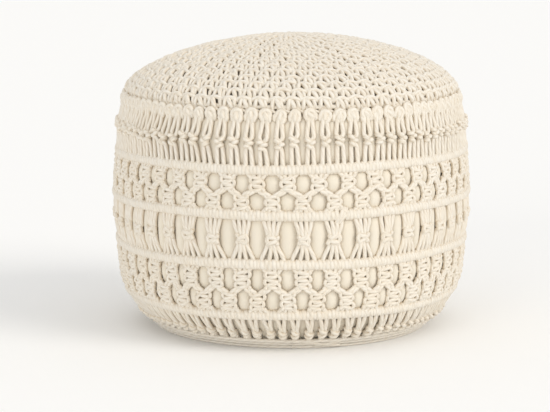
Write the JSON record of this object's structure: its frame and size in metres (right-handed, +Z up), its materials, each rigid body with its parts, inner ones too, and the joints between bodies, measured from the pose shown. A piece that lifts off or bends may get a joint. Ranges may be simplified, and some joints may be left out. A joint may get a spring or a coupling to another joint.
{
  "type": "macrame pouf",
  "caption": "Round filled pouf in a knotted macrame cord cover with hitched rings, square-knot and gathered bands, a crocheted crown and a coiled base.",
  "frame": {"origin": "bottom centre, on the floor under the middle of the pouf", "axes": "+Z up, front towards -Y, +X to the right seen from the front"},
  "size_m": [0.4498, 0.4498, 0.365],
  "materials": {
    "cotton_cord": "matt unbleached cotton cord, about 5 mm thick, softly twisted",
    "case_cloth": "matt plain-woven cream cotton"
  },
  "bodies": {
    "root": {"inner_case": "case_cloth", "crochet_crown": "cotton_cord", "rim_strand_band": "cotton_cord", "upper_square_knot_band": "cotton_cord", "gathered_knot_band": "cotton_cord", "lower_square_knot_band": "cotton_cord", "hem_strand_band": "cotton_cord", "coiled_base": "cotton_cord", "ring_bar_1": "cotton_cord", "ring_bar_2": "cotton_cord", "ring_bar_3": "cotton_cord", "ring_bar_4": "cotton_cord"}
  },
  "joints": []
}
